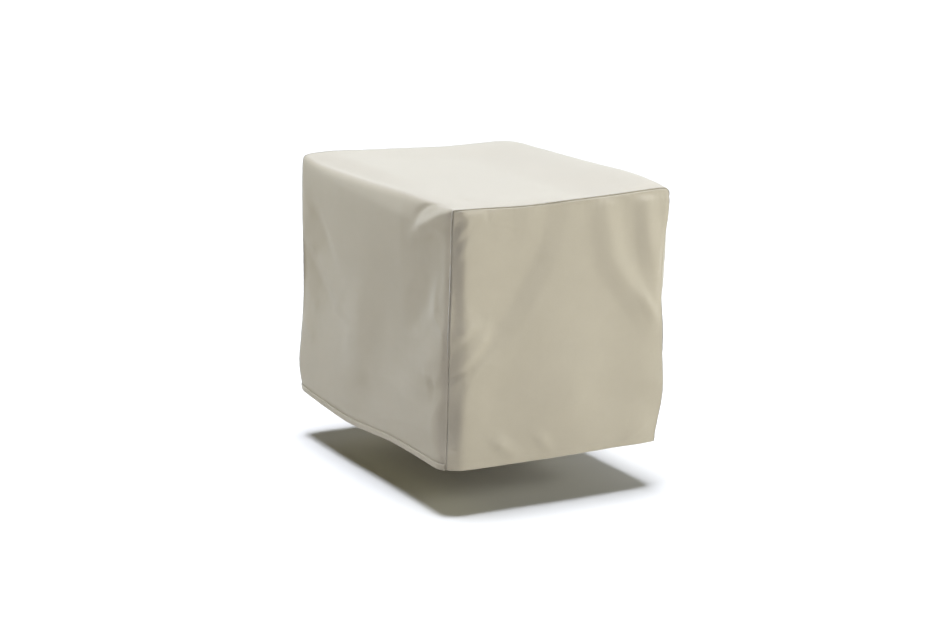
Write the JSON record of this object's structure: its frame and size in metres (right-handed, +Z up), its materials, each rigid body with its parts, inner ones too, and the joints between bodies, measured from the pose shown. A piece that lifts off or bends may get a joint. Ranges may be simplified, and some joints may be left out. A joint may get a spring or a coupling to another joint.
{
  "type": "side table cover",
  "caption": "Fitted cloth cover for a small rectangular side table: closed top, drop sides sewn at the corners, stitched hem, open below, with soft uneven folds.",
  "frame": {"origin": "middle of the top, on the inner face of the cloth, where the table top holds it up", "axes": "+Z up, +X along the front panel to the right as one faces it, +Y from the front panel to the back panel"},
  "size_m": [0.4698, 0.6087, 0.502],
  "materials": {
    "cloth": "matt coated woven cloth, warm grey-beige"
  },
  "bodies": {
    "root": {"body_strip": "cloth", "front_panel": "cloth", "back_panel": "cloth"}
  },
  "joints": []
}
